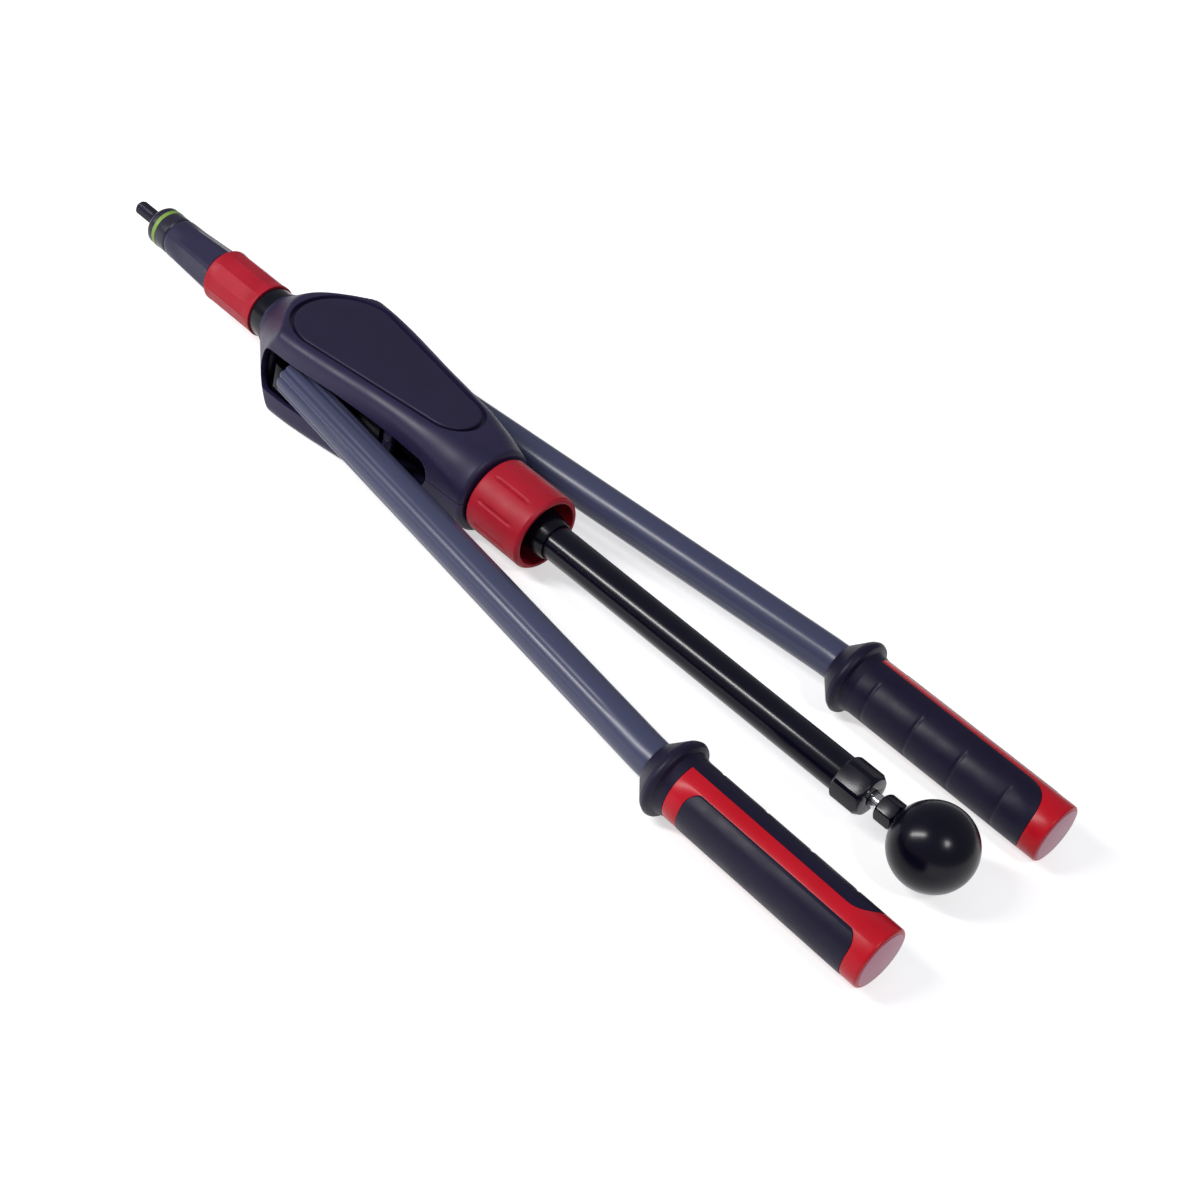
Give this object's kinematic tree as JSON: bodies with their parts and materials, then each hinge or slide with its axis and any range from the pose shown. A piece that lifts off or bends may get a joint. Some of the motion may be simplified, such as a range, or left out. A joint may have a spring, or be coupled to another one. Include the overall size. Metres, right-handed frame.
{
  "type": "hand rivet nut tool",
  "caption": "Two-handed rivet nut setting tool: long tube arms geared to a sliding nose, quick-change mandrel and a ball-knob spiral rod.",
  "frame": {"origin": "centre of the tool's bounding box in X and Y, at the level of the housing's base and grip flanges", "axes": "tool axis along X with the nose towards -X and the grips towards +X, +Z out of the top panel, the arms opening in the XY plane"},
  "size_m": [0.5838, 0.1646, 0.0488],
  "materials": {
    "shell_plastic": "fine moulded grain",
    "panel_rubber": "matt",
    "plain_steel": "turned",
    "bright_steel": "bright",
    "black_steel": "black oxide",
    "cast_aluminium": "black coated",
    "bronze": "sintered",
    "arm_paint": "semi gloss slate paint",
    "tube_black": "gloss",
    "ball_black": "gloss",
    "ring_red": "satin",
    "ring_green": "satin",
    "grip_red": "satin",
    "grip_rubber": "matt"
  },
  "bodies": {
    "housing": {"upper_shell": "shell_plastic", "lower_shell": "shell_plastic", "top_panel": "panel_rubber", "shell_screw_1": "plain_steel", "shell_screw_2": "plain_steel", "shell_screw_3": "plain_steel", "shell_screw_4": "plain_steel", "shell_screw_5": "plain_steel", "shell_screw_6": "plain_steel", "front_bush": "bronze", "upper_frame_plate": "plain_steel", "lower_frame_plate": "plain_steel", "core_barrel": "cast_aluminium", "ring_clip": "plain_steel", "left_pivot_pin": "plain_steel", "right_pivot_pin": "plain_steel", "upper_frame_screw_left": "plain_steel", "upper_frame_screw_right": "plain_steel", "lower_frame_screw_left": "plain_steel", "lower_frame_screw_right": "plain_steel", "centre_tube": "tube_black", "tube_collar": "tube_black"},
    "nose_slide": {"rack_sleeve": "plain_steel", "nose_holder": "black_steel", "nose_sleeve": "black_steel", "nosepiece": "black_steel", "size_ring": "ring_green"},
    "lock_ring": {"lock_ring": "ring_red"},
    "left_arm": {"left_lever": "plain_steel", "left_pivot_bush": "bronze", "left_arm_pin": "plain_steel", "left_arm_tube": "arm_paint", "left_grip_frame": "grip_red", "left_grip_sleeve": "grip_rubber", "left_grip_pad": "grip_rubber"},
    "right_arm": {"right_lever": "plain_steel", "right_pivot_bush": "bronze", "right_arm_pin": "plain_steel", "right_arm_tube": "arm_paint", "right_grip_frame": "grip_red", "right_grip_sleeve": "grip_rubber", "right_grip_pad": "grip_rubber"},
    "spindle": {"mandrel": "black_steel", "chuck": "plain_steel", "spindle_shaft": "plain_steel", "thrust_washer": "bronze", "spindle_tube": "plain_steel", "drive_nut": "bronze"},
    "ball_rod": {"spiral_rod": "bright_steel", "rod_nut": "black_steel", "ball_knob": "ball_black"},
    "adjuster_ring": {"adjuster_ring": "ring_red"},
    "stop_sleeve": {"stop_sleeve": "plain_steel"}
  },
  "joints": [
    {"name": "left_arm_hinge", "type": "hinge", "parent": "housing", "child": "left_arm", "pos_m": [-0.13591, -0.019, 0.0244], "axis": [0, 0, -1], "range_deg": [-2.8, 38]},
    {"name": "right_arm_hinge", "type": "hinge", "parent": "housing", "child": "right_arm", "pos_m": [-0.13591, 0.019, 0.0244], "axis": [0, 0, 1], "range_deg": [-2.8, 38]},
    {"name": "nose_slide", "type": "slide", "parent": "housing", "child": "nose_slide", "axis": [1, 0, 0], "range_m": [-0.0005, 0.00664]},
    {"name": "lock_ring_turn", "type": "hinge", "parent": "nose_slide", "child": "lock_ring", "pos_m": [-0.19591, 0, 0.0244], "axis": [1, 0, 0], "range_deg": [0, 45]},
    {"name": "rod_slide", "type": "slide", "parent": "housing", "child": "ball_rod", "axis": [1, 0, 0], "range_m": [0, 0.105]},
    {"name": "spindle_spin", "type": "hinge", "parent": "housing", "child": "spindle", "pos_m": [-0.13591, 0, 0.0244], "axis": [1, 0, 0], "range_deg": [-1261, 1]},
    {"name": "adjuster_turn", "type": "hinge", "parent": "housing", "child": "adjuster_ring", "pos_m": [0.01209, 0, 0.0244], "axis": [1, 0, 0], "range_deg": [-1, 721]},
    {"name": "stop_sleeve_slide", "type": "slide", "parent": "housing", "child": "stop_sleeve", "axis": [1, 0, 0], "range_m": [0, 0.005]}
  ],
  "couplings": [
    {"joint": "right_arm_hinge", "follows": "left_arm_hinge", "ratio": 1},
    {"joint": "nose_slide", "follows": "left_arm_hinge", "m_per_rad": 0.01},
    {"joint": "spindle_spin", "follows": "rod_slide", "rad_per_m": -209.44},
    {"joint": "adjuster_turn", "follows": "stop_sleeve_slide", "rad_per_m": 2513.3}
  ]
}
